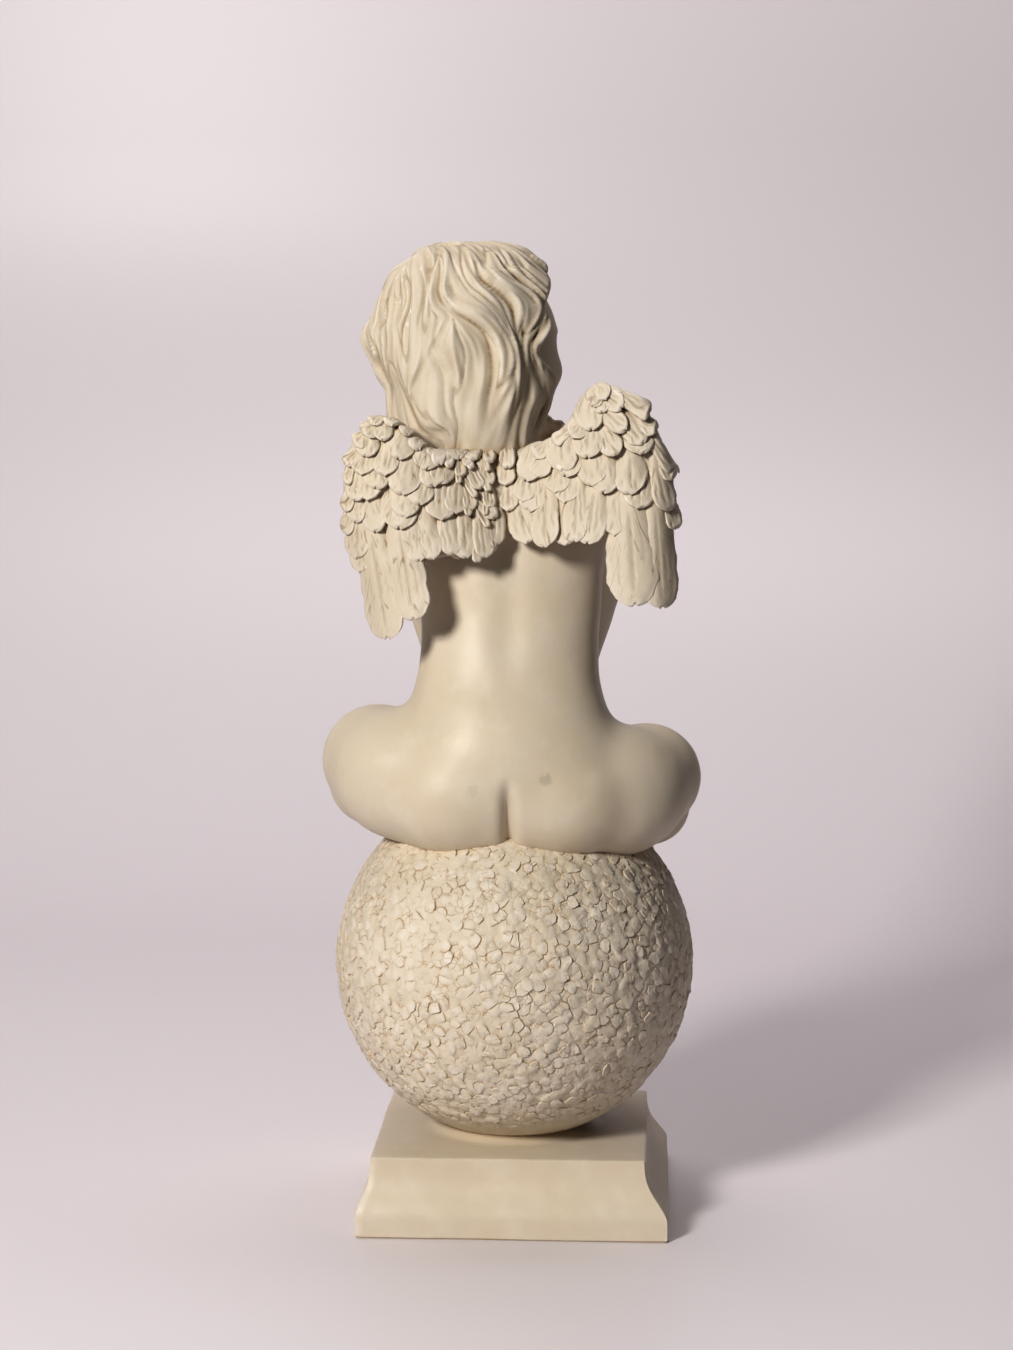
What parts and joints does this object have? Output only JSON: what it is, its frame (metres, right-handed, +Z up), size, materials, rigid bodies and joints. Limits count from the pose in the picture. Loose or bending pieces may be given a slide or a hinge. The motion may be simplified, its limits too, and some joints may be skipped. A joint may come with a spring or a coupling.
{
  "type": "angel figurine",
  "caption": "Cast figurine of a winged curly-haired child sitting cross-legged, chin on hand, on a flake-crusted ball over a moulded square plinth.",
  "frame": {"origin": "centre of the square underside of the plinth", "axes": "+Z up, the figure's back towards +Y and its front towards -Y, so its left side is towards +X"},
  "size_m": [0.128, 0.1189, 0.3224],
  "materials": {
    "cast_resin": "satin cream resin, darker in the grooves"
  },
  "bodies": {
    "root": {"angel_figurine": "cast_resin"}
  },
  "joints": []
}
